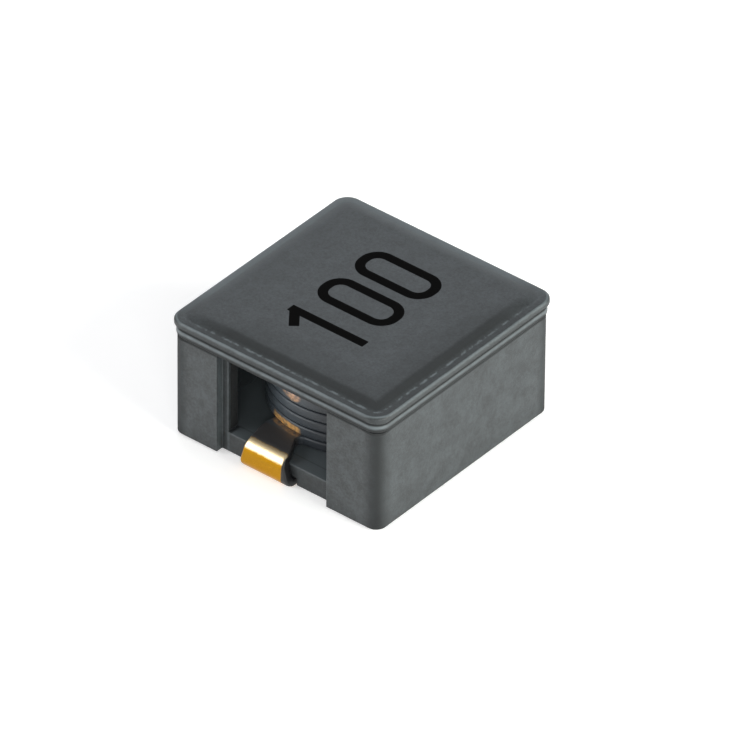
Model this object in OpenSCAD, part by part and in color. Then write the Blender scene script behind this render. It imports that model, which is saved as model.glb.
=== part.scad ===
// Shielded SMD power inductor: two ferrite core halves bonded round a flat-wire
// coil. The wire is wound on edge in one layer and its two ends are bent through
// the windows and under the base, where they are the solder pads.
// Millimetres; origin in the middle of the footprint, z = 0 on the board.

/* [Core outline] */
// Core size across the two plain side walls (X)
core_x = 10; // [9.6:0.1:12]
// Core size across the two window faces (Y)
core_y = 10.2; // [9.8:0.1:12]
// Height of the lower core from its underside to the joint
lower_h = 4.47; // [4.45:0.01:5]
// Thickness of the plate under the winding
floor_t = 0.89; // [0.75:0.01:0.92]
// Corner radius of the lower core, seen from above
corner_r = 0.45; // [0.3:0.05:0.8]
// Bevel round the underside of the lower core
foot_bevel = 0.08; // [0.02:0.01:0.15]
// Gap between the board and the underside of the core
standoff = 0.1; // [0.05:0.01:0.3]

/* [Winding space] */
// Thickness of the plain side walls
side_wall = 1.1; // [0.9:0.05:1.15]
// Thickness of the window walls before the recess is cut
window_wall = 0.88; // [0.7:0.02:0.9]
// Corner radius of the winding space
cavity_r = 1.2; // [0.8:0.1:1.5]
// Diameter of the centre post
post_d = 3.4; // [2.8:0.1:3.5]
// Air gap between the centre post and the lid
post_gap = 0.12; // [0.05:0.01:0.3]

/* [Windows] */
// Width of the recess on each window face
recess_w = 5.32; // [5.2:0.02:5.6]
// Middle of the recess in X
recess_x = -0.17; // [-0.25:0.01:-0.05]
// Depth of the recess
recess_d = 0.32; // [0.22:0.02:0.34]
// Bevel on the edges that the terminals are folded round
sill_bevel = 0.09; // [0.07:0.01:0.12]
// Width of the window in the recess
window_w = 4.86; // [4.6:0.02:5]
// Middle of the window in X
window_x = -0.1; // [-0.2:0.01:0]

/* [Lid] */
// Thickness of the bond line between the two halves
bond_t = 0.03; // [0.02:0.01:0.06]
// How far the bond line stays behind the wall faces
bond_inset = 0.06; // [0.04:0.01:0.1]
// Corner radius of the lid, seen from above
lid_r = 0.6; // [0.5:0.02:0.9]
// Height of the lid from its underside to the flat land
land_h = 0.78; // [0.72:0.01:0.9]
// Distance of the crown's foot from the wall plane
crown_in = 0.2; // [0.1:0.01:0.4]
// Height of the crown above the land
crown_h = 0.1; // [0.05:0.01:0.16]
// Width of the soft shoulder of the crown, also its corner radius at the foot
shoulder_w = 0.56; // [0.3:0.02:0.8]
// Overhang of the rim past the wall
rim_out = 0.14; // [0.1:0.01:0.2]
// Radius on the upper edge of the rim
rim_r = 0.12; // [0.06:0.01:0.14]
// Overhang of the lip just above the joint
lip_out = 0.08; // [0.04:0.01:0.1]
// Height of the lip
lip_h = 0.38; // [0.3:0.01:0.4]
// Height of the groove between the lip and the rim
groove_h = 0.44; // [0.42:0.01:0.5]

/* [Wire] */
// Width of the flat wire
wire_w = 1.6; // [1.5:0.02:1.64]
// Thickness of the flat wire
wire_t = 0.4; // [0.34:0.01:0.42]
// Radius on the long edges of the wire
wire_r = 0.08; // [0.05:0.01:0.14]
// Mean radius of the winding
coil_r = 2.85; // [2.82:0.01:2.9]
// Rise of one turn
pitch = 0.44; // [0.42:0.005:0.46]
// Complete turns, before the part turn that brings the end to the far face
full_turns = 6; // [5:1:6]
// Radius of the edgewise bend between lead and winding
edge_bend_r = 1.05; // [1:0.05:1.2]

/* [Terminals] */
// Middle of the folded terminal in X
lead_x = -0.5; // [-0.6:0.02:-0.4]
// Middle of the lead in X where it leaves the winding
neck_x = -0.76; // [-0.84:0.02:-0.7]
// Slant of the lead where it leaves the winding
neck_a = 12; // [6:1:15]
// Width of the terminal at its upper fold
fold_w = 1.84; // [1.7:0.02:2]
// Inside radius of the upper fold
bend_r = 0.15; // [0.1:0.01:0.2]
// Inside radius of the lower fold
foot_r = 0.05; // [0.03:0.01:0.15]
// Width of the solder pad
pad_w = 2.4; // [2:0.05:2.6]
// Distance of the pad's inner end from the middle of the part
pad_in = 3.2; // [2.8:0.05:3.6]
// Clearance between the wire and the core
fit = 0.02; // [0.01:0.005:0.04]

/* [Hidden] */
$fn = 48;
over = 0.5;

// heights above the board
floor_z = standoff + floor_t;
joint_z = standoff + lower_h;
lid_z = joint_z + bond_t;
land_z = lid_z + land_h;

// winding space
cavity_x = core_x - 2 * side_wall;
cavity_y = core_y - 2 * window_wall;
recess_y = core_y / 2 - recess_d;

// wire path
strip_r = bend_r + wire_t / 2;
heel_r = foot_r + wire_t / 2;
strip_y = recess_y + fit + wire_t / 2;
pad_z = wire_t / 2;
lead_z = floor_z + fit + wire_t / 2;
touch_a = acos((neck_x + edge_bend_r) / (coil_r + edge_bend_r));
lead_y = (coil_r + edge_bend_r) * sin(touch_a);
sweep_a = 360 * full_turns + 2 * touch_a;
top_z = lead_z + pitch * sweep_a / 360;
slot_z = wire_t + fit;

ring_step = 10;
bend_step = 15;
turn_steps = round(sweep_a / ring_step);

ferrite = [0.30, 0.32, 0.33];
glue = [0.09, 0.09, 0.10];
copper = [0.80, 0.56, 0.18];

// points of an arc about c
function arc(c, r, a0, a1, n) =
    [for (i = [0:n]) let (a = a0 + (a1 - a0) * i / n) c + r * [cos(a), sin(a)]];

// rounded rectangle, centred
module round_rect(x, y, r) {
    square([x - 2 * r, y], center = true);
    square([x, y - 2 * r], center = true);
    for (sx = [-1, 1], sy = [-1, 1])
        translate([sx * (x / 2 - r), sy * (y / 2 - r)]) circle(r);
}

// solid rounded block whose four sides carry one edge profile;
// rim lists [distance past the side plane, height] from bottom to top
module rim_block(x, y, r, rim) {
    low = rim[0][1];
    high = rim[len(rim) - 1][1];
    outline = [for (p = concat([[-r, low]], rim, [[-r, high]])) [p[0] + r, p[1]]];
    dx = x / 2 - r;
    dy = y / 2 - r;
    translate([-dx, -dy, low]) cube([2 * dx, 2 * dy, high - low]);
    for (i = [0:3]) {
        along = i % 2 == 0 ? dy : dx;
        across = i % 2 == 0 ? dx : dy;
        rotate([0, 0, 90 * i]) {
            translate([across, along, 0]) rotate([90, 0, 0])
                linear_extrude(height = 2 * along) polygon(outline);
            translate([across, along, 0])
                rotate_extrude(angle = 90) polygon(outline);
        }
    }
}

// the plan of a window: recess, opening and, under the base, the pad slot
module window_cuts() {
    translate([recess_x - recess_w / 2, recess_y, standoff - over])
        cube([recess_w, recess_d + over, lower_h + 2 * over]);
    translate([window_x - window_w / 2, cavity_y / 2 - over, floor_z])
        cube([window_w, window_wall + over, lower_h]);
    translate([lead_x - pad_w / 2 - 0.1, pad_in - 0.1, slot_z - over])
        cube([pad_w + 0.2, core_y / 2, over]);
    for (e = [[window_x, window_w, floor_z], [lead_x, pad_w + 0.2, slot_z]])
        translate([e[0], recess_y, e[2]]) rotate([45, 0, 0])
            cube([e[1], sill_bevel * sqrt(2), sill_bevel * sqrt(2)], center = true);
}

module lower_core() {
    wall = [[-foot_bevel, standoff], [0, standoff + foot_bevel],
            [0, joint_z - 0.05], [-0.05, joint_z]];
    color(ferrite) difference() {
        rim_block(core_x, core_y, corner_r, wall);
        difference() {
            translate([0, 0, floor_z]) linear_extrude(height = lower_h)
                round_rect(cavity_x, cavity_y, cavity_r);
            translate([0, 0, floor_z - over])
                cylinder(h = over + joint_z - floor_z - post_gap, d = post_d);
        }
        for (m = [0, 1]) mirror([0, m, 0]) window_cuts();
    }
}

// lid: rounded lip above the joint, narrow groove, overhanging rounded rim, flat
// land and a low crown with a soft shoulder
module upper_core() {
    lip = [for (a = [-70:20:70]) [lip_out * cos(a), lip_h / 2 * (1 + sin(a))]];
    under = arc([rim_out - rim_r, groove_h + rim_r], rim_r, -60, 0, 3);
    edge = arc([rim_out - rim_r, land_h - rim_r], rim_r, 0, 90, 5);
    shoulder = [for (i = [0:5]) [-shoulder_w * i / 5, crown_h * sin(18 * i)]];
    crown_x = core_x - 2 * crown_in;
    crown_y = core_y - 2 * crown_in;
    color(ferrite) {
        translate([0, 0, lid_z]) rim_block(core_x, core_y, lid_r,
            concat([[-0.02, 0]], lip, [[0, groove_h]], under, edge));
        translate([0, 0, land_z]) rim_block(crown_x, crown_y, shoulder_w + 0.05,
            concat([[0, -0.2]], shoulder));
    }
}

// adhesive on the top of one side wall and its two pillars
module bond(side) {
    color(glue) translate([0, 0, joint_z]) linear_extrude(height = bond_t)
        intersection() {
            difference() {
                round_rect(core_x - 2 * bond_inset, core_y - 2 * bond_inset, corner_r);
                round_rect(cavity_x + 2 * bond_inset, cavity_y + 2 * bond_inset, cavity_r);
                translate([recess_x, 0])
                    square([recess_w + 2 * bond_inset, 2 * core_y], center = true);
            }
            translate([side * core_x / 2, 0]) square([core_x, core_y], center = true);
        }
}

// one section of the wire: [centre, direction of its width, of its thickness, width]
function flared(z) = fold_w + (pad_w - fold_w)
    * min(1, max(0, (lead_z - z) / (lead_z - pad_z)));
function strip_at(y, z, a) =
    [[lead_x, y, z], [1, 0, 0], [0, sin(a), cos(a)], flared(z)];
function strip_bend(z, r, a0) = [for (i = [0:90 / bend_step]) let (a = a0 + bend_step * i)
    strip_at(r - strip_y - r * sin(a), z - r * cos(a), a)];

// edgewise bend that leads the wire onto the winding circle at height z
function edge_bend(z) = [for (i = [0:8]) let (a = (touch_a + neck_a) * i / 8 - neck_a)
    [[neck_x + edge_bend_r * (1 - cos(a)), edge_bend_r * sin(a) - lead_y, z],
     [cos(a), -sin(a), 0], [0, 0, -1], wire_w]];

// front terminal, from the end of its pad up to its lead at height z and so onto the
// winding; the far one is its mirror image in Y, followed backwards
function terminal(z) = concat(
    [strip_at(-pad_in, pad_z, 0)],
    strip_bend(pad_z + heel_r, heel_r, 0),
    [strip_at(-strip_y, min(lead_z, (pad_z + z) / 2), 90)],
    strip_bend(z - strip_r, strip_r, 90),
    edge_bend(z));
function mirrored(s) = [[s[0][0], -s[0][1], s[0][2]], [s[1][0], -s[1][1], 0],
    [0, -s[2][1], s[2][2]], s[3]];
function backwards(list) = [for (i = [len(list) - 1:-1:0]) list[i]];

function winding() = [for (i = [1:turn_steps - 1])
    let (f = i / turn_steps, a = sweep_a * f - touch_a)
    [[coil_r * cos(a), coil_r * sin(a), lead_z + (top_z - lead_z) * f],
     [cos(a), sin(a), 0], [0, 0, -1], wire_w]];

function wire_path() = concat(terminal(lead_z), winding(),
    backwards([for (s = terminal(top_z)) mirrored(s)]));

// outline of the wire section, rounded on its four edges
function wire_section(w) = [for (q = [0:3], k = [0:2])
    let (a = 90 * q + 45 * k, sx = q == 0 || q == 3 ? 1 : -1, sy = q < 2 ? 1 : -1)
    [sx * (w / 2 - wire_r) + wire_r * cos(a), sy * (wire_t / 2 - wire_r) + wire_r * sin(a)]];

// flat wire wound on edge, from one solder pad to the other
module coil() {
    path = wire_path();
    m = len(wire_section(wire_w));
    n = len(path);
    color(copper) polyhedron(
        points = [for (s = path, p = wire_section(s[3])) s[0] + p[0] * s[1] + p[1] * s[2]],
        faces = concat(
            [[for (j = [0:m - 1]) j]],
            [for (i = [0:n - 2], j = [0:m - 1], h = [0, 1])
                let (a = i * m + j, b = i * m + (j + 1) % m, c = b + m, d = a + m)
                h == 0 ? [a, d, c] : [a, c, b]],
            [[for (j = [m - 1:-1:0]) (n - 1) * m + j]]));
}

upper_core();
lower_core();
coil();
bond(-1);  // bond_left
bond(1);  // bond_right
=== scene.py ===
import math

import bpy
from mathutils import Matrix, Vector


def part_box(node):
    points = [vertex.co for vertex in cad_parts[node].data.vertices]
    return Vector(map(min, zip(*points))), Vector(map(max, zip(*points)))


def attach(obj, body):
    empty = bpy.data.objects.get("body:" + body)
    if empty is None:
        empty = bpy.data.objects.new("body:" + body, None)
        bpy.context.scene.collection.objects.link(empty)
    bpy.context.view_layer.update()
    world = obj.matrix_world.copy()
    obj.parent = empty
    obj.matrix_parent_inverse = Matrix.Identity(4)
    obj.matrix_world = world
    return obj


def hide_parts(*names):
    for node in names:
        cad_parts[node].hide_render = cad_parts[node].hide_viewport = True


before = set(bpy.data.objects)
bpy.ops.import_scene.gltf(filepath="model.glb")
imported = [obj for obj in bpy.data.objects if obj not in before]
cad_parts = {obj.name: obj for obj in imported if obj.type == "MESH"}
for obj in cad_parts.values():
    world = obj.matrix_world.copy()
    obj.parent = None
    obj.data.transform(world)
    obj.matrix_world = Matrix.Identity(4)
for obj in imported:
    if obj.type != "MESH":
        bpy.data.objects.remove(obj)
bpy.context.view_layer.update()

# Pieces are drawn in millimetres and brought to metres by settle().
MM = 0.001
QUARTER = math.radians(90)

# Sizes of the core, in the part's frame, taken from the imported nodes.
base_low, base_high = (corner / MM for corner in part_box("lower_core"))
lid_low, lid_high = (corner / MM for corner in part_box("upper_core"))
_, wire_high = (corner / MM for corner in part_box("coil"))
HALF_X, HALF_Y = base_high.x, base_high.y
STANDOFF, JOINT = base_low.z, base_high.z

# Lower core. RECESS and WINDOW run along X.
FLOOR_TOP = STANDOFF + 0.89
SIDE_WALL, WINDOW_WALL = 1.1, 0.88
BASE_CORNER, HOLLOW_CORNER, BASE_EDGE = 0.45, 1.2, 0.09
RECESS_DEPTH = 0.32
RECESS_Y = HALF_Y - RECESS_DEPTH
RECESS = (-2.83, 2.49)
WINDOW = (-2.53, 2.33)
WINDOW_REACH = 0.3
SLOT_PLAY, SLOT_SPARE = 0.1, 0.02
POST_RADIUS, POST_GAP, POST_SUNK = 1.7, 0.12, 0.02

# Lid: heights above its underside, distances past the wall plane.
LID_CORNER, LID_START = 0.6, -0.02
LIP_OUT, LIP_HIGH, GROOVE_HIGH = 0.08, 0.38, 0.44
RIM_OUT, RIM_ROUND, LAND_HIGH = 0.14, 0.12, 0.78
CROWN_IN, CROWN_HIGH, SHOULDER = 0.2, 0.1, 0.56
CROWN_STEPS = 12

# Wire. SPREAD_RUNGS are the heights at which a terminal's width is set.
WIRE_WIDTH, WIRE_THICK, WIRE_ROUND = 1.6, 0.4, 0.08
COIL_RADIUS = 2.85
EDGE_BEND = 1.05
UPPER_FOLD, LOWER_FOLD = 0.15 + WIRE_THICK / 2, 0.05 + WIRE_THICK / 2
LEAD_X, NECK_X, NECK_SLANT = -0.5, -0.76, math.radians(12)
FOLD_WIDTH, PAD_WIDTH, PAD_IN = 1.84, 2.4, 3.2
STRIP_Y = wire_high.y - WIRE_THICK / 2
LEAD_Z = FLOOR_TOP + 0.02 + WIRE_THICK / 2
TOUCH = math.acos((NECK_X + EDGE_BEND) / (COIL_RADIUS + EDGE_BEND))
TURNS = 6 + TOUCH / math.pi
TOP_Z = wire_high.z - WIRE_THICK / 2
SPREAD_RUNGS = (0.55, 0.65, 0.75, 0.85, 1.05, LEAD_Z)
FOLD_STEPS, NECK_STEPS, TURN_STEPS = 10, 18, 64
WELD = 0.004

# Marking.
MARK_SLOT = "black_epoxy"
MARK_SPOT = (-0.1, 0.05)
INK_THICK, INK_LIFT = 0.006, 0.001
DIGIT_TALL, DIGIT_WIDE, DIGIT_STEP, STROKE = 3.65, 1.72, 2.2, 0.4
NOUGHT_CORNER = 0.8
FLAG_ENDS, FLAG_SLANT, FLAG_DROP = (-1.05, 0.08), math.radians(38), 0.22
ONE_SHIFT = 0.25


# ---------------------------------------------------------------- modelling

def let_go():
    """Leaves nothing selected, so that an operator acts on the new piece alone."""
    if bpy.context.object and bpy.context.object.mode != "OBJECT":
        bpy.ops.object.mode_set(mode="OBJECT")
    bpy.ops.object.select_all(action="DESELECT")


def hold(piece):
    let_go()
    piece.select_set(True)
    bpy.context.view_layer.objects.active = piece


def edit_all(piece):
    """Goes into edit mode with the whole piece selected."""
    hold(piece)
    bpy.ops.object.mode_set(mode="EDIT")
    bpy.ops.mesh.select_all(action="SELECT")


def named(name):
    piece = bpy.context.object
    piece.name = piece.data.name = name
    return piece


def block(name, low, high):
    """A box between two corners."""
    let_go()
    bpy.ops.mesh.primitive_cube_add(size=1)
    piece = named(name)
    piece.location = (Vector(low) + Vector(high)) / 2
    piece.scale = Vector(high) - Vector(low)
    bpy.ops.object.transform_apply()
    return piece


def sheet(name, wide, deep, height=0.0):
    """A flat rectangle with its middle on the Z axis."""
    let_go()
    bpy.ops.mesh.primitive_plane_add(size=1)
    piece = named(name)
    piece.scale = (wide, deep, 1)
    piece.location.z = height
    bpy.ops.object.transform_apply()
    return piece


def round_outline(radius, segments):
    """Rounds the corners of the sheet in edit mode, and leaves all of it selected."""
    bpy.ops.mesh.bevel(offset=radius, segments=segments, affect="VERTICES")
    bpy.ops.mesh.select_all(action="SELECT")


def pick_edges(piece, wanted):
    """Goes into edit mode with the edges selected whose two ends pass the test."""
    hold(piece)
    bpy.ops.object.mode_set(mode="EDIT")
    bpy.ops.mesh.select_mode(type="EDGE")
    bpy.ops.mesh.select_all(action="DESELECT")
    bpy.ops.object.mode_set(mode="OBJECT")
    points = piece.data.vertices
    for edge in piece.data.edges:
        edge.select = wanted(*(points[i].co for i in edge.vertices))
    bpy.ops.object.mode_set(mode="EDIT")


def upright(a, b, near=1e-4):
    return (a - b).to_2d().length < near and abs(a.z - b.z) > near


def round_corners(piece, radius, segments):
    """Rounds the upright edges of a block."""
    pick_edges(piece, upright)
    bpy.ops.mesh.bevel(offset=radius, segments=segments, affect="EDGES")
    let_go()
    return piece


def carve(piece, tool, operation="DIFFERENCE"):
    hold(piece)
    cut = piece.modifiers.new("carve", "BOOLEAN")
    cut.object, cut.operation, cut.solver = tool, operation, "EXACT"
    bpy.ops.object.modifier_apply(modifier=cut.name)
    bpy.data.objects.remove(tool)


def soften(piece, radius, angle=40, segments=3):
    """Rounds every edge sharper than the angle."""
    hold(piece)
    bevel = piece.modifiers.new("soften", "BEVEL")
    bevel.width, bevel.segments = radius, segments
    bevel.limit_method, bevel.angle_limit = "ANGLE", math.radians(angle)
    bevel.miter_outer = "MITER_ARC"
    bpy.ops.object.modifier_apply(modifier=bevel.name)


def smooth(piece, angle):
    """Smooth shading that keeps broad flats flat."""
    hold(piece)
    bpy.ops.object.shade_smooth_by_angle(angle=math.radians(angle))
    weigh = piece.modifiers.new("weigh", "WEIGHTED_NORMAL")
    weigh.keep_sharp = True
    bpy.ops.object.modifier_apply(modifier=weigh.name)


def join(piece, others):
    hold(piece)
    for other in others:
        other.select_set(True)
    bpy.ops.object.join()


def settle(piece, material_slot, *nodes):
    """Brings a finished piece to metres, rides it on the part and swaps it for its CAD nodes."""
    hold(piece)
    piece.scale = (MM, MM, MM)
    bpy.ops.object.transform_apply()
    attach(piece, "root")
    if nodes:
        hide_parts(*nodes)
    return piece


# ---------------------------------------------------------------- the cores

def open_face(base, name, side, inner, across, bottom, top=JOINT + 1):
    """Cuts a block out of one window face, from behind the wall to past the face."""
    reach = sorted((side * inner, side * (HALF_Y + 1)))
    carve(base, block(name, (across[0], reach[0], bottom), (across[1], reach[1], top)))


def lower_core():
    """Pressed base: floor, two plain walls with corner pillars, windows and centre post."""
    base = round_corners(block("base_core", base_low, base_high), BASE_CORNER, 10)
    hollow = block("hollow", (SIDE_WALL - HALF_X, WINDOW_WALL - HALF_Y, FLOOR_TOP),
                   (HALF_X - SIDE_WALL, HALF_Y - WINDOW_WALL, JOINT + 1))
    carve(base, round_corners(hollow, HOLLOW_CORNER, 12))
    slot = PAD_WIDTH / 2 + SLOT_PLAY
    for side in (-1, 1):
        open_face(base, "recess", side, RECESS_Y, RECESS, -1)
        open_face(base, "window", side, HALF_Y - WINDOW_WALL - WINDOW_REACH, WINDOW, FLOOR_TOP)
        open_face(base, "pad_slot", side, PAD_IN - SLOT_PLAY, (LEAD_X - slot, LEAD_X + slot),
                  -1, WIRE_THICK + SLOT_SPARE)
    let_go()
    bottom, top = FLOOR_TOP - POST_SUNK, JOINT - POST_GAP
    bpy.ops.mesh.primitive_cylinder_add(vertices=64, radius=POST_RADIUS, depth=top - bottom)
    post = named("post")
    post.location.z = (bottom + top) / 2
    bpy.ops.object.transform_apply()
    carve(base, post, "UNION")
    soften(base, BASE_EDGE)
    smooth(base, 35)
    return settle(base, "ferrite", "lower_core")


def arc(out, height, reach, rise, degrees):
    """Points round a centre, each at an angle above the outward direction."""
    return [(out + reach * math.cos(a), height + rise * math.sin(a))
            for a in map(math.radians, degrees)]


def lid_profile():
    """The lid's side from its underside to the crown: (past the wall plane, above the joint)."""
    core = RIM_OUT - RIM_ROUND
    lip = arc(0, LIP_HIGH / 2, LIP_OUT, LIP_HIGH / 2, range(-70, 71, 14))
    under = arc(core, GROOVE_HIGH + RIM_ROUND, RIM_ROUND, RIM_ROUND, range(-60, 1, 15))
    edge = arc(core, LAND_HIGH - RIM_ROUND, RIM_ROUND, RIM_ROUND, range(0, 91, 10))
    crown = [(-CROWN_IN - SHOULDER * i / CROWN_STEPS,
              LAND_HIGH + CROWN_HIGH * math.sin(QUARTER * i / CROWN_STEPS))
             for i in range(CROWN_STEPS + 1)]
    return [(LID_START, 0)] + lip + [(0, GROOVE_HIGH)] + under + edge + crown


def extrude(move):
    bpy.ops.mesh.extrude_region_move(TRANSFORM_OT_translate={"value": move})


def upper_core():
    """Pressed lid, drawn as one outline raised through the side's profile."""
    profile = lid_profile()
    rise = (lid_high.z - lid_low.z) / profile[-1][1]
    lid = sheet("lid_core", 2 * (HALF_X + LID_START), 2 * (HALF_Y + LID_START), lid_low.z)
    edit_all(lid)
    round_outline(LID_CORNER, 14)
    for (out, low), (next_out, high) in zip(profile, profile[1:]):
        extrude((0, 0, (high - low) * rise))
        bpy.ops.transform.resize(value=((HALF_X + next_out) / (HALF_X + out),
                                        (HALF_Y + next_out) / (HALF_Y + out), 1),
                                 center_override=(0, 0, 0))
    bpy.ops.mesh.select_all(action="SELECT")
    bpy.ops.mesh.normals_make_consistent(inside=False)
    let_go()
    smooth(lid, 50)
    return settle(lid, "ferrite", "upper_core")


# ---------------------------------------------------------------- the wire

def wire_end(name, centre):
    """Outline of the flat wire: wide along X, thin along Z, with rounded edges."""
    end = sheet(name, WIRE_WIDTH, WIRE_THICK)
    edit_all(end)
    round_outline(WIRE_ROUND, 4)
    bpy.ops.mesh.delete(type="ONLY_FACE")
    bpy.ops.object.mode_set(mode="OBJECT")
    end.rotation_euler.x = QUARTER
    end.location = centre
    bpy.ops.object.transform_apply()
    return end


def widen_end(widen):
    bpy.ops.transform.resize(value=(widen, 1, 1), center_override=(LEAD_X, 0, 0))


def turn_end(angle, axis, centre):
    """Turns the wire's open end; rotate turns the other way without a window."""
    bpy.ops.transform.rotate(value=-angle, orient_axis=axis, center_override=centre)


def swing(angle, axis, centre, steps, widths=None):
    """Draws the wire's open end on round a bend."""
    for i in range(steps):
        extrude((0, 0, 0))
        turn_end(angle / steps, axis, centre)
        if widths:
            widen_end(widths[i + 1] / widths[i])


def width_at(z):
    """The terminal's width at a height: it spreads from the upper fold down to the pad."""
    share = min(1, max(0, (LEAD_Z - z) / (LEAD_Z - WIRE_THICK / 2)))
    return FOLD_WIDTH + (PAD_WIDTH - FOLD_WIDTH) * share


def terminal(name, lead_z):
    """One end of the wire, from its pad up over the sill and edgewise onto the winding."""
    pad_z = WIRE_THICK / 2
    low_centre, high_centre = pad_z + LOWER_FOLD, lead_z - UPPER_FOLD
    heel, crest = STRIP_Y - LOWER_FOLD, STRIP_Y - UPPER_FOLD
    angles = [QUARTER * i / FOLD_STEPS for i in range(FOLD_STEPS + 1)]
    piece = wire_end(name, (LEAD_X, -PAD_IN, pad_z))
    hold(piece)
    bpy.ops.object.mode_set(mode="EDIT")
    bpy.ops.mesh.select_mode(type="EDGE")
    bpy.ops.mesh.select_all(action="SELECT")
    widen_end(PAD_WIDTH / WIRE_WIDTH)
    extrude((0, PAD_IN - heel, 0))
    swing(-QUARTER, "X", (LEAD_X, -heel, low_centre), FOLD_STEPS,
          [width_at(low_centre - LOWER_FOLD * math.cos(a)) for a in angles])
    rungs = [low_centre, *(z for z in SPREAD_RUNGS if z < high_centre), high_centre]
    for low, high in zip(rungs, rungs[1:]):
        extrude((0, 0, high - low))
        widen_end(width_at(high) / width_at(low))
    swing(-QUARTER, "X", (LEAD_X, -crest, high_centre), FOLD_STEPS,
          [width_at(high_centre + UPPER_FOLD * math.sin(a)) for a in angles])
    hub = Vector((NECK_X + EDGE_BEND, -(COIL_RADIUS + EDGE_BEND) * math.sin(TOUCH), lead_z))
    neck = hub - EDGE_BEND * Vector((math.cos(NECK_SLANT), math.sin(NECK_SLANT), 0))
    extrude(neck - Vector((LEAD_X, -crest, lead_z)))
    bpy.ops.transform.resize(value=(WIRE_WIDTH / width_at(lead_z), 1, 1), center_override=neck)
    turn_end(NECK_SLANT, "Z", neck)
    swing(-TOUCH - NECK_SLANT, "Z", hub, NECK_STEPS)
    let_go()
    return piece


def close_ends(piece):
    """Joins the pieces of the wire, then closes its two open ends."""
    edit_all(piece)
    bpy.ops.mesh.remove_doubles(threshold=WELD)
    bpy.ops.mesh.select_all(action="DESELECT")
    bpy.ops.mesh.select_non_manifold()
    bpy.ops.mesh.edge_face_add()
    bpy.ops.mesh.select_all(action="SELECT")
    bpy.ops.mesh.normals_make_consistent(inside=False)
    let_go()


def coil():
    """Flat wire wound on edge in one layer, with its two terminals."""
    winding = wire_end("wire", (COIL_RADIUS, 0, LEAD_Z))
    hold(winding)
    screw = winding.modifiers.new("wind", "SCREW")
    screw.angle = 2 * math.pi * TURNS
    screw.screw_offset = TOP_Z - LEAD_Z
    screw.steps = screw.render_steps = round(TURN_STEPS * TURNS)
    screw.use_smooth_shade = False
    bpy.ops.object.modifier_apply(modifier=screw.name)
    winding.rotation_euler.z = -TOUCH
    bpy.ops.object.transform_apply()
    low = terminal("low_end", LEAD_Z)
    high = terminal("high_end", TOP_Z)
    high.scale.y = -1
    hold(high)
    bpy.ops.object.transform_apply()
    join(winding, (low, high))
    close_ends(winding)
    smooth(winding, 50)
    return settle(winding, "flat_wire", "coil")


# ---------------------------------------------------------------- the marking

def digit_nought(name):
    ring = sheet(name, DIGIT_WIDE, DIGIT_TALL)
    edit_all(ring)
    round_outline(NOUGHT_CORNER, 16)
    bpy.ops.mesh.select_mode(type="FACE")
    bpy.ops.mesh.select_all(action="SELECT")
    bpy.ops.mesh.inset(thickness=STROKE)
    bpy.ops.mesh.delete(type="FACE")
    let_go()
    return ring


def digit_one(name):
    """Upright stroke with a slanting flag, cut from two bars."""
    thick = 0.5
    stem = block(name, (-STROKE / 2, -DIGIT_TALL / 2, -thick),
                 (STROKE / 2, DIGIT_TALL / 2, thick))
    flag = block("flag", (FLAG_ENDS[0], -STROKE / 2, -thick), (FLAG_ENDS[1], STROKE / 2, thick))
    flag.rotation_euler.z = FLAG_SLANT
    flag.location = (0, DIGIT_TALL / 2 - FLAG_DROP, 0)
    hold(flag)
    bpy.ops.object.transform_apply()
    carve(flag, block("trim", (-2, DIGIT_TALL / 2, -1), (2, DIGIT_TALL / 2 + 2, 1)))
    carve(stem, flag, "UNION")
    edit_all(stem)
    bpy.ops.mesh.bisect(plane_co=(0, 0, 0), plane_no=(0, 0, 1), clear_inner=True,
                        clear_outer=True, use_fill=False)
    bpy.ops.mesh.select_all(action="SELECT")
    bpy.ops.mesh.edge_face_add()
    let_go()
    return stem


def marking():
    """A plain value of three digits, printed on the lid and read from the window side."""
    mark, *noughts = [digit_one("value_mark"), digit_nought("first_nought"),
                      digit_nought("last_nought")]
    spots = (ONE_SHIFT - DIGIT_STEP, 0, DIGIT_STEP)
    for digit, spot in zip((mark, *noughts), spots):
        digit.location.x = spot
        hold(digit)
        bpy.ops.object.transform_apply()
    join(mark, noughts)
    film = mark.modifiers.new("film", "SOLIDIFY")
    film.thickness, film.offset = INK_THICK, 1
    bpy.ops.object.modifier_apply(modifier=film.name)
    mark.rotation_euler.z = QUARTER
    mark.location = (*MARK_SPOT, lid_high.z + INK_LIFT)
    bpy.ops.object.transform_apply()
    return settle(mark, MARK_SLOT)


# ---------------------------------------------------------------- materials

class Level:
    """A value that changes over a surface. Sums on it add Math nodes."""

    def __init__(self, finish, socket):
        self.finish, self.socket = finish, socket

    def maths(self, operation, a, b=0.0, clamp=False):
        return self.finish.add("ShaderNodeMath", {"operation": operation, "use_clamp": clamp},
                               {0: a, 1: b})

    def __add__(self, other):
        return self.maths("ADD", self, other)

    def __sub__(self, other):
        return self.maths("SUBTRACT", self, other)

    def __mul__(self, other):
        return self.maths("MULTIPLY", self, other)

    def __truediv__(self, other):
        return self.maths("DIVIDE", self, other)

    def __rsub__(self, other):
        return self.maths("SUBTRACT", other, self)

    def __pow__(self, other):
        return self.maths("POWER", self, other)

    __radd__, __rmul__ = __add__, __mul__

    def least(self, other):
        return self.maths("MINIMUM", self, other)

    def most(self, other):
        return self.maths("MAXIMUM", self, other)

    def size(self):
        return self.maths("ABSOLUTE", self)

    def held(self):
        """Kept between 0 and 1."""
        return self.maths("ADD", self, 0.0, clamp=True)


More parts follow.
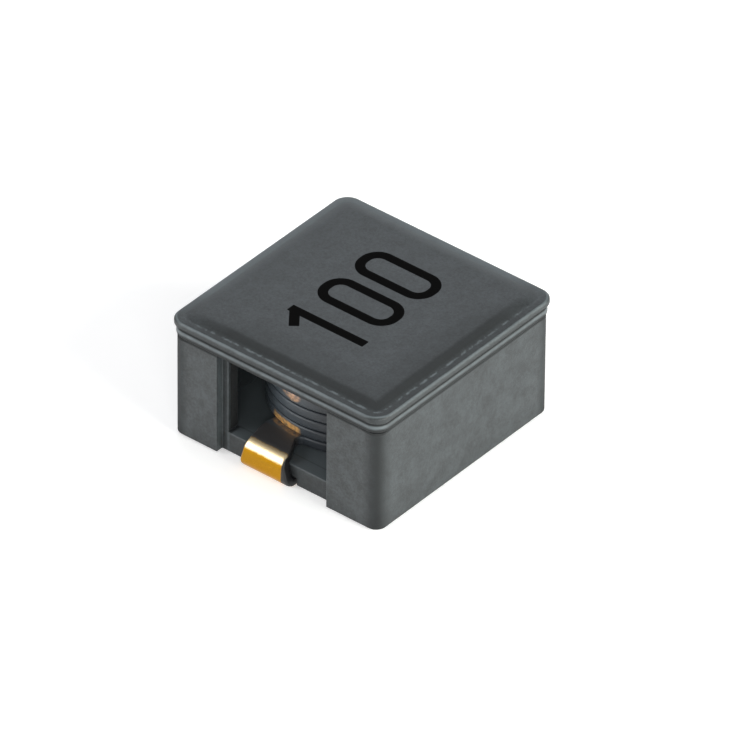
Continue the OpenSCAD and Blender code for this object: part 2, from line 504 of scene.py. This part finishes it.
class Finish:
    """A material and the one way of adding nodes to it. x, y and z are in millimetres."""

    def __init__(self, name):
        self.material = bpy.data.materials.new(name)
        self.material.use_nodes = True
        self.tree = self.material.node_tree
        self.shader = self.tree.nodes["Principled BSDF"]
        spot = self.add("ShaderNodeTexCoord", out="Object")
        self.place = self.add("ShaderNodeVectorMath", {"operation": "SCALE"},
                              {0: spot, "Scale": 1 / MM})
        self.x, self.y, self.z = (
            self.add("ShaderNodeSeparateXYZ", inputs={0: self.place}, out=axis) for axis in "XYZ")

    def add(self, kind, settings=None, inputs=None, out=0):
        node = self.tree.nodes.new(kind)
        for name, value in (settings or {}).items():
            setattr(node, name, value)
        for name, value in (inputs or {}).items():
            self.feed(node.inputs[name], value)
        return Level(self, node.outputs[out])

    def feed(self, socket, value):
        if isinstance(value, Level):
            self.tree.links.new(value.socket, socket)
        else:
            socket.default_value = value

    def set(self, **values):
        """Sets or links the shader's own sockets."""
        for name, value in values.items():
            self.feed(self.shader.inputs[name.replace("_", " ")], value)

    def noise(self, scale, detail=3.0, rough=0.5):
        return self.add("ShaderNodeTexNoise", inputs={
            "Vector": self.place, "Scale": scale, "Detail": detail, "Roughness": rough})

    def sway(self, scale, detail=3.0, rough=0.5):
        """Noise about nought."""
        return self.noise(scale, detail, rough) - 0.5

    def mix(self, share, a, b):
        """From colour a to colour b."""
        return self.add("ShaderNodeMix", {"data_type": "RGBA"}, {0: share, 6: a, 7: b}, out=2)

    def bump(self, height, depth, strength):
        """depth is the height's full range in millimetres."""
        return self.add("ShaderNodeBump", inputs={
            "Height": height, "Distance": depth * MM, "Strength": strength})

    def band(self, level, centre, half, soft):
        """1 where the level is within half of the centre, fading over soft."""
        return ((half + soft - (level - centre).size()) / soft).held()

    def past(self, level, edge, soft):
        """0 up to the edge, then rising to 1 over soft."""
        return ((level - edge) / soft).held()

    def short(self, level, edge, soft):
        """0 from the edge on, and rising to 1 over soft before it."""
        return ((edge - level) / soft).held()


def grey(value, tint=(1.0, 1.0, 1.0)):
    return tuple(value * t for t in tint) + (1.0,)


FERRITE_TINT = (0.87, 1.03, 1.10)
# The third colour is painted shade; the fourth is scuffed edges and painted highlights.
FERRITE_DARK, FERRITE_PALE, FERRITE_PAINTED_SHADE, FERRITE_RUBBED_AND_LIT = (
    grey(value, FERRITE_TINT) for value in (0.018, 0.050, 0.012, 0.13))


def ferrite(name, wear_and_light, mottle):
    """Pressed and sintered ferrite: fine grain, faint clouds, pores, scuffed lighter edges with
    painted highlights, and painted shade.
    """
    f = Finish(name)
    cloud = f.sway(1.9, 5.0, 0.7)
    grain = f.sway(9.0, 5.0, 0.65)
    fine = f.sway(38.0, 3.0, 0.6)
    wear_and_highlight, painted_shade = (level.held() for level in wear_and_light(f))
    pores = ((0.33 - f.noise(16.0, 2.0)) * 9).held()
    tone = (0.5 + grain * 2.4 + cloud * mottle + fine * 1.3).held()
    body = f.mix(tone, FERRITE_DARK, FERRITE_PALE)
    # Painted shade first, then the lighter mask of scuffed edges, painted highlights and painted
    # light.
    body = f.mix(painted_shade, body, FERRITE_PAINTED_SHADE)
    body = f.mix(wear_and_highlight, body, FERRITE_RUBBED_AND_LIT)
    f.set(Base_Color=f.mix(pores * 0.5, body, grey(0.03)),
          Roughness=0.44 + grain * 0.2 + painted_shade * 0.4,
          Normal=f.bump(grain * 0.6 + fine * 0.5 - pores * 0.8, 0.012, 0.6))
    f.set(Specular_IOR_Level=0.5)
    return f.material


# Where the lid is scuffed and where light and shade are painted on it: heights above the joint,
# distances past the wall plane.
EDGE_OUT, EDGE_HIGH, LIP_SCUFF_GLINT_OUT, LIP_SCUFF_GLINT_HIGH = RIM_OUT - 0.045, LAND_HIGH - 0.04, 0.06, 0.27
SLOPE_OUT, TOP_SHEEN_OUT, TOP_SHADE_OUT = -CROWN_IN - 0.32, -0.75, -2.2
TOP_HIGH, SEAM_HIGH, FRONT_Y = 0.7, 0.02, 4.6


def lid_wear_and_light(f):
    """How much the lid is painted light and how much painted dark.

    Lighter: the rim's edge and the lip, scuffed and with a painted highlight, stronger along the
    window face; a painted highlight in dashes along the crown's foot on the near sides; and a
    painted sheen on the top towards the far corner. Darker: painted shade in the groove, at the
    joint under the lip, and on the crown's slope and top towards the near corner.
    """
    over_x = f.x.size() - (HALF_X - LID_CORNER)
    over_y = f.y.size() - (HALF_Y - LID_CORNER)
    beyond = ((over_x.most(0.0) ** 2 + over_y.most(0.0) ** 2) ** 0.5
              + over_x.most(over_y).least(0.0) - LID_CORNER)
    height = f.z - lid_low.z
    wander = f.sway(1.3) * 0.10 + f.sway(6.0) * 0.10
    uneven = (0.55 + f.sway(2.4, 4.0, 0.7) * 2.2).held()
    dashes = ((f.noise(3.2, 3.0, 0.6) - 0.42) * 6).held()
    # near grows towards the near corner; front makes the painted highlight on the rim's edge and
    # lip stronger along the window face.
    near = ((f.x - f.y) / 2).held() * 0.8 + 0.1
    front = f.past(0 - f.y, FRONT_Y, 0.3) * 0.5 + 1.0

    # Scuffed rim edge and lip, with a painted highlight.
    edge = f.band(beyond + wander * 0.2, EDGE_OUT, 0.015, 0.04)
    edge = edge * f.band(height, EDGE_HIGH, 0.05, 0.05)
    lip = f.band(height + wander * 0.15, LIP_SCUFF_GLINT_HIGH, 0.03, 0.05)
    lip = lip * f.band(beyond, LIP_SCUFF_GLINT_OUT, 0.05, 0.02) * (0.9 - near * 0.3)
    # Painted highlight in dashes along the crown's foot, on the near sides only.
    foot = f.band(beyond + wander, -CROWN_IN, 0.01, 0.06) * dashes * near
    # Painted sheen on the top towards the far corner.
    far = ((f.y - f.x) / 2).held() * f.past(beyond + wander, TOP_SHEEN_OUT, 0.8) ** 1.4
    far = far * f.past(height, TOP_HIGH, 0.05)

    # Painted shade: the groove and the joint under the lip, the crown's slope and the top towards
    # the near corner.
    groove = f.band(height, GROOVE_HIGH, 0.07, 0.07)
    seam = f.band(height, SEAM_HIGH, 0.08, 0.08)
    side = f.band(beyond, 0.0, 0.13, 0.02)
    slope = f.band(beyond + wander, SLOPE_OUT, 0.14, 0.16) * near
    top = f.past(beyond, TOP_SHADE_OUT, 1.8) * near
    return ((edge * 0.85 + lip) * front * (0.5 + uneven * 0.5) + foot * 0.95 + far * 0.75,
            (groove + seam) * side * 1.1 + slope * 0.5 + top * 0.35)


# Where the base is scuffed and where light and shade are painted on it: distances from the middle
# planes, and a height.
STEP_Y, SURROUND_X, JAMB_X, THRESHOLD_X = HALF_Y - 0.2, 3.0, 2.5, 2.45
CORNER_DARK, FOOT_DARK, HOLLOW_LOW = 0.8, 1.1, 0.6


def base_wear_and_light(f):
    """How much the base is painted light and how much painted dark.

    Lighter: the edges of pillars, windows, sills and recess ledges, scuffed and with a painted
    highlight; painted light on the walls of the hollow and on the floor just inside each window.
    Darker: painted shade at the joint under the lid's lip, on the rounded corners, the jambs and
    the recess faces; and darker towards the foot.
    """
    along, across, z = f.x.size(), f.y.size(), f.z
    uneven = (0.5 + f.sway(2.4, 4.0, 0.7) * 2).held()

    def at_ends(span, half, soft):
        return f.band(f.x, span[0], half, soft).most(f.band(f.x, span[1], half, soft))

    # Scuffed edges with a painted highlight.
    pillar = at_ends(RECESS, 0.02, 0.05) * f.past(across, HALF_Y - BASE_EDGE, 0.05)
    ledge = at_ends(RECESS, 0.02, 0.04) * f.band(across, STEP_Y, 0.12, 0.04)
    skin = f.band(across, RECESS_Y, 0.03, 0.05) * f.short(along, SURROUND_X, 0.1)
    window = at_ends(WINDOW, 0.03, 0.05)
    sill = f.band(z, FLOOR_TOP - 0.03, 0.03, 0.05)
    # Painted light on the floor just inside the window and on the walls of the hollow.
    threshold = f.band(across, HALF_Y - 0.6, 0.24, 0.06) * f.short(along, THRESHOLD_X, 0.1)
    threshold = threshold * f.band(z, FLOOR_TOP, 0.02, 0.04)
    hollow = f.short(across, HALF_Y - WINDOW_WALL + 0.05, 0.1) * f.past(z, HOLLOW_LOW, 0.1)
    hollow = hollow * f.short(along, HALF_X - SIDE_WALL + 0.05, 0.1)

    # Painted shade on the jambs, the rounded corners, the recess faces and the joint under the
    # lid's lip; the foot is simply darker towards the bottom.
    jamb = f.short(across, RECESS_Y - 0.1, 0.05) * f.band(along, JAMB_X, 0.25, 0.1)
    jamb = jamb * f.past(z, FLOOR_TOP + 0.05, 0.05)
    turn = f.past(along, HALF_X - CORNER_DARK, 0.7) * f.past(across, HALF_Y - CORNER_DARK, 0.7)
    step = f.short(across, STEP_Y, 0.05) * skin
    foot = f.short(z, FOOT_DARK, 0.9)
    joint = f.band(z, JOINT, 0.05, 0.06)
    return ((pillar * 0.3 + window * skin + sill * skin * 0.6) * uneven * 0.5
            + hollow.most(threshold) * 0.8 + ledge * 0.3,
            joint * 0.9 + turn + foot * 0.2 + step * 0.3 + jamb)


GOLD_DEEP, GOLD_PALE = (0.40, 0.185, 0.006, 1), (0.52, 0.265, 0.012, 1)
TIN_AND_GLINT = (0.90, 0.72, 0.44, 1)
# Copper of the bare spots, bright as a painted glint.
COPPER_LOW, COPPER_HIGH = (0.80, 0.44, 0.14, 1), (0.50, 0.30, 0.20, 1)
ENAMEL_DARK, ENAMEL_PALE = (0.034, 0.042, 0.050, 1), (0.066, 0.080, 0.092, 1)
ENAMEL_PAINTED_SHADE = (0.018, 0.020, 0.024, 1)
LEAD_TOP, LEAD_FLANK_SHADE = (0.048, 0.047, 0.048, 1), (0.006, 0.006, 0.007, 1)

# Where the wire changes: distances from the X axis, heights, and the spots' (X, height).
LEAD_FROM, FLANK_FROM, BARE_FROM, PAD_UNTIL = 3.75, 4.2, 4.80, 4.6
FACE_X, TIN_GLINT_HIGH, PAD_SKIN = 0.36, 1.24, 0.03
LOW_SPOT, LOW_SPOT_HALF = (-0.75, 1.58), (0.62, 0.11)
HIGH_SPOT, HIGH_SPOT_HALF = (-0.42, 3.14), (0.5, 0.33)
FRONT_FROM, WINDING_OUT = 2.5, 3.84


def flat_wire():
    """Dark enamel on the winding; the folded terminals are gold metal, and spots scuffed bare
    show copper with a painted glint.

    Painted shade darkens the winding towards +X and the near terminal's flank towards +X, and a
    pale painted highlight lies on the near terminal's upper fold, which is coated with tin.
    """
    f = Finish("flat_wire")
    across = f.y.size()
    scratch = f.noise(5.0, 5.0, 0.7)
    smear = f.noise(1.2, 2.0)
    fray = f.sway(4.0) * 0.12
    gap = f.sway(2.6) * 0.25
    patchy = (0.7 + f.sway(6.0, 4.0, 0.7) * 3.4).held()

    ends = f.past(across + fray, BARE_FROM, 0.07)
    faced = ((FACE_X + f.z * 0.06 - f.x + fray * 0.3) / 0.05).most(f.y).held()
    under = f.short(across, PAD_UNTIL, 0.1).most(f.short(f.z, PAD_SKIN, 0.02))
    folded = (ends * faced).most(f.short(f.z, WIRE_THICK + 0.04, 0.04) * under)
    # Tin on the near terminal's upper fold, made pale as a painted highlight.
    tin_and_glint = ends * f.band(f.z + fray * 0.6, TIN_GLINT_HIGH, 0.13, 0.09) * (0 - f.y).held()

    from_axis = (f.x ** 2 + f.y ** 2) ** 0.5
    # Spots scuffed bare to copper on the winding's front, bright as a painted glint.
    front = f.past(0 - f.y, FRONT_FROM, 0.2) * f.short(from_axis, WINDING_OUT, 0.06)
    low_spot = f.band(f.x + gap, LOW_SPOT[0], LOW_SPOT_HALF[0], 0.2)
    low_spot = low_spot * f.band(f.z + gap * 0.5, LOW_SPOT[1], LOW_SPOT_HALF[1], 0.08)
    off_x = (f.x - HIGH_SPOT[0] + gap) / HIGH_SPOT_HALF[0]
    off_z = (f.z - HIGH_SPOT[1] + gap) / HIGH_SPOT_HALF[1]
    high_spot = ((1 - off_x ** 2 - off_z ** 2) * 2).held() * 0.85
    bare_and_glint = front * low_spot.most(high_spot) * patchy

    gold = f.mix(scratch, GOLD_DEEP, GOLD_PALE)
    gold = f.mix(tin_and_glint, gold, TIN_AND_GLINT)
    copper = f.mix((f.z - 2.2).held(), COPPER_LOW, COPPER_HIGH)
    enamel = f.mix(smear, ENAMEL_DARK, ENAMEL_PALE)
    # Painted shade: the enamel darkens towards +X.
    enamel = f.mix(f.past(f.x, -0.6, 1.8) * 0.85, enamel, ENAMEL_PAINTED_SHADE)
    enamel = f.mix(f.past(across, LEAD_FROM, 0.1), enamel, LEAD_TOP)
    # Painted shade on the near terminal's flank towards +X.
    enamel = f.mix(f.past(across, FLANK_FROM, 0.3) * (1 - faced), enamel, LEAD_FLANK_SHADE)
    f.set(Base_Color=f.mix(folded, f.mix(bare_and_glint, enamel, copper), gold),
          Metallic=folded.most(bare_and_glint * 0.45),
          Roughness=0.42 - folded * 0.16 + tin_and_glint * 0.14 + (scratch - 0.5) * 0.12,
          Coat_Weight=folded * tin_and_glint * 0.5,
          Normal=f.bump(scratch + smear * 0.6, 0.006, 0.4))
    f.set(Coat_Roughness=0.25)
    return f.material


def black_epoxy(name, value):
    f = Finish(name)
    fleck = f.noise(14.0, 4.0, 0.6)
    f.set(Base_Color=f.mix(fleck, grey(value * 0.6), grey(value * 1.5)),
          Roughness=0.9 + (fleck - 0.5) * 0.2,
          Normal=f.bump(fleck, 0.006, 0.5))
    f.set(Specular_IOR_Level=0.04)
    return f.material


def floor_paper():
    """Pale paper on a light table."""
    f = Finish("floor_paper")
    tooth = f.noise(0.8, 4.0)
    f.set(Base_Color=f.mix(tooth, grey(0.86), grey(0.89)), Roughness=0.9 + (tooth - 0.5) * 0.1)
    f.set(Emission_Color=grey(1.0), Emission_Strength=0.4)
    return f.material


def dress(piece, material):
    piece.data.materials.clear()
    piece.data.materials.append(material)


# ---------------------------------------------------------------- the part

dress(lower_core(), ferrite("base_ferrite", base_wear_and_light, mottle=2.6))
dress(upper_core(), ferrite("lid_ferrite", lid_wear_and_light, mottle=1.3))
dress(coil(), flat_wire())
dress(marking(), black_epoxy("marking_ink", 0.002))
bond = black_epoxy("bond_epoxy", 0.012)
for name in ("bond_left", "bond_right"):
    dress(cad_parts[name], bond)


# ---------------------------------------------------------------- the stage

# In metres. LENS and LENS_MIDDLE are in units of which a side of the view has 730.
VIEW_SIDE = 730
LENS, LENS_MIDDLE, SENSOR = 13035.5, (361.66, 362.16), 36
CAMERA_ROUND, CAMERA_UP, CAMERA_LEAN = (math.radians(d) for d in (39.19, 36.58, 0.48))
CAMERA_AIM, CAMERA_REACH = Vector((0, 0, 2.75 * MM)), 0.49
LAMP_AIM = Vector((0, 0, 0.003))
SKY_DIM_SIDE, SKY_SPAN = (0.63, -0.78, 0), (-0.6, 0.9)
FLOOR_SIDE, FLOOR_DROP = 1.6, 0.02 * MM


def floor():
    """Lies a hair under the pads, so that the two faces never fall together."""
    ground = sheet("floor", FLOOR_SIDE, FLOOR_SIDE, -FLOOR_DROP)
    dress(ground, floor_paper())


def lamp(name, spot, size, power, tint=(1, 1, 1)):
    """A soft round lamp that faces the part."""
    light = bpy.data.lights.new(name, "AREA")
    light.shape, light.size, light.energy, light.color = "DISK", size, power, tint
    fixture = bpy.data.objects.new(name, light)
    fixture.location = spot
    fixture.rotation_euler = (LAMP_AIM - Vector(spot)).to_track_quat("-Z", "Y").to_euler()
    bpy.context.scene.collection.objects.link(fixture)


def sky(dim, bright):
    """A plain studio, dim on the window side of the near corner and bright behind the part."""
    world = bpy.data.worlds.new("studio")
    world.use_nodes = True
    tree = world.node_tree
    spot = tree.nodes.new("ShaderNodeTexCoord")
    facing = tree.nodes.new("ShaderNodeVectorMath")
    facing.operation = "DOT_PRODUCT"
    facing.inputs[1].default_value = SKY_DIM_SIDE
    level = tree.nodes.new("ShaderNodeMapRange")
    for socket, value in zip(list(level.inputs)[1:5], (*SKY_SPAN, bright, dim)):
        socket.default_value = value
    tree.links.new(spot.outputs["Generated"], facing.inputs[0])
    tree.links.new(facing.outputs["Value"], level.inputs["Value"])
    background = tree.nodes["Background"]
    background.inputs["Color"].default_value = (1, 1, 1, 1)
    tree.links.new(level.outputs["Result"], background.inputs["Strength"])
    bpy.context.scene.world = world


def camera():
    """A long lens, 39 degrees round from the window face and 37 degrees up."""
    level = math.cos(CAMERA_UP)
    back = Vector((math.sin(CAMERA_ROUND) * level, -math.cos(CAMERA_ROUND) * level,
                   math.sin(CAMERA_UP)))
    lens = bpy.data.cameras.new("camera")
    lens.sensor_width, lens.lens = SENSOR, SENSOR * LENS / VIEW_SIDE
    lens.shift_x = (VIEW_SIDE / 2 - LENS_MIDDLE[0]) / VIEW_SIDE
    lens.shift_y = (LENS_MIDDLE[1] - VIEW_SIDE / 2) / VIEW_SIDE
    lens.clip_start, lens.clip_end = 0.05, 5
    seen = bpy.data.objects.new("camera", lens)
    turn = back.to_track_quat("Z", "Y").to_matrix() @ Matrix.Rotation(CAMERA_LEAN, 3, "Z")
    seen.matrix_world = Matrix.Translation(CAMERA_AIM + back * CAMERA_REACH) @ turn.to_4x4()
    bpy.context.scene.collection.objects.link(seen)
    bpy.context.scene.camera = seen


floor()
sky(dim=0.15, bright=0.4)
lamp("key", (0.50, 0.07, 0.16), 0.44, 4.6, (1.0, 1.02, 0.97))
lamp("front", (-0.34, -0.44, 0.22), 0.40, 1.9)
lamp("fill", (0.30, -0.40, 0.30), 0.30, 0.9)
lamp("back", (-0.31, 0.38, 0.33), 0.46, 0.5, (0.95, 1.0, 1.1))
camera()
bpy.context.scene.view_settings.view_transform = "Standard"
